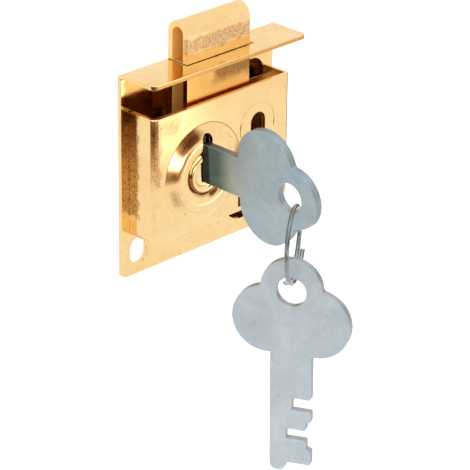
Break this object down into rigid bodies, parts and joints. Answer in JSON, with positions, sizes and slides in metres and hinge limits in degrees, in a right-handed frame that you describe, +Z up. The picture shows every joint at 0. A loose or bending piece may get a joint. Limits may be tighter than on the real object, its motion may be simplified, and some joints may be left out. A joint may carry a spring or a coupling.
{
  "type": "mailbox lock",
  "caption": "Sheet-brass mailbox lock: folded plate with a spring bolt through its top flange, domed keyhole housing, flat key in the plug and a spare key on a wire ring.",
  "frame": {"origin": "middle of the plate's bottom edge, on the plate's front face", "axes": "+X to the right seen from the key side, +Y to the back, +Z up along the bolt's travel"},
  "size_m": [0.0382, 0.0467, 0.0799],
  "materials": {
    "polished_brass": "polished",
    "lever_brass": "satin",
    "key_steel": "satin",
    "ring_wire": "polished",
    "spring_steel": "satin",
    "pin_steel": "satin"
  },
  "bodies": {
    "case": {"back_plate": "polished_brass", "housing": "polished_brass", "plug_retainer": "polished_brass", "spring_pin": "pin_steel", "bolt_spring": "spring_steel", "rear_case": "polished_brass", "lever_post": "pin_steel", "lever_washers": "lever_brass"},
    "plug": {"key_plug": "polished_brass"},
    "key": {"key": "key_steel"},
    "ring": {"key_ring": "ring_wire"},
    "spare": {"spare_key": "key_steel"},
    "bolt": {"latch_bolt": "polished_brass", "bolt_spacer": "polished_brass", "bolt_rivets": "pin_steel", "bolt_stump": "pin_steel"},
    "lever_1": {"lever_1": "lever_brass", "lever_spring_1": "spring_steel"},
    "lever_2": {"lever_2": "lever_brass", "lever_spring_2": "spring_steel"},
    "lever_3": {"lever_3": "lever_brass", "lever_spring_3": "spring_steel"}
  },
  "joints": [
    {"name": "plug_turn", "type": "hinge", "parent": "case", "child": "plug", "pos_m": [-0.005, -0.006, 0.0187], "axis": [0, 1, 0], "range_deg": [0, 119]},
    {"name": "bolt_slide", "type": "slide", "parent": "case", "child": "bolt", "axis": [0, 0, -1], "range_m": [0, 0.0074], "stiffness_N_per_m": 150, "springref_m": -0.004, "deforming": ["bolt_spring"]},
    {"name": "lever_1_lift", "type": "hinge", "parent": "case", "child": "lever_1", "pos_m": [0.0115, 0.0035, 0.0277], "axis": [0, -1, 0], "range_deg": [0, 7], "deforming": ["lever_spring_1"]},
    {"name": "lever_2_lift", "type": "hinge", "parent": "case", "child": "lever_2", "pos_m": [0.0115, 0.0035, 0.0277], "axis": [0, -1, 0], "range_deg": [0, 7], "deforming": ["lever_spring_2"]},
    {"name": "lever_3_lift", "type": "hinge", "parent": "case", "child": "lever_3", "pos_m": [0.0115, 0.0035, 0.0277], "axis": [0, -1, 0], "range_deg": [0, 7], "deforming": ["lever_spring_3"]},
    {"name": "key_withdraw", "type": "slide", "parent": "plug", "child": "key", "axis": [0, -1, 0], "range_m": [0, 0.0165]},
    {"name": "ring_swing", "type": "hinge", "parent": "key", "child": "ring", "pos_m": [-0.00516, -0.02895, 0.0189], "axis": [0.848, 0.5299, 0], "range_deg": [-45, 20]},
    {"name": "spare_key_swing", "type": "hinge", "parent": "ring", "child": "spare", "pos_m": [-0.00516, -0.02895, 0.0053], "axis": [0.848, 0.5299, 0], "range_deg": [-45, 30]}
  ],
  "couplings": [
    {"joint": "plug_turn", "follows": "bolt_slide", "rad_per_m": 280.67},
    {"joint": "lever_1_lift", "follows": "bolt_slide", "rad_per_m": 16.509},
    {"joint": "lever_2_lift", "follows": "bolt_slide", "rad_per_m": 16.509},
    {"joint": "lever_3_lift", "follows": "bolt_slide", "rad_per_m": 16.509}
  ]
}
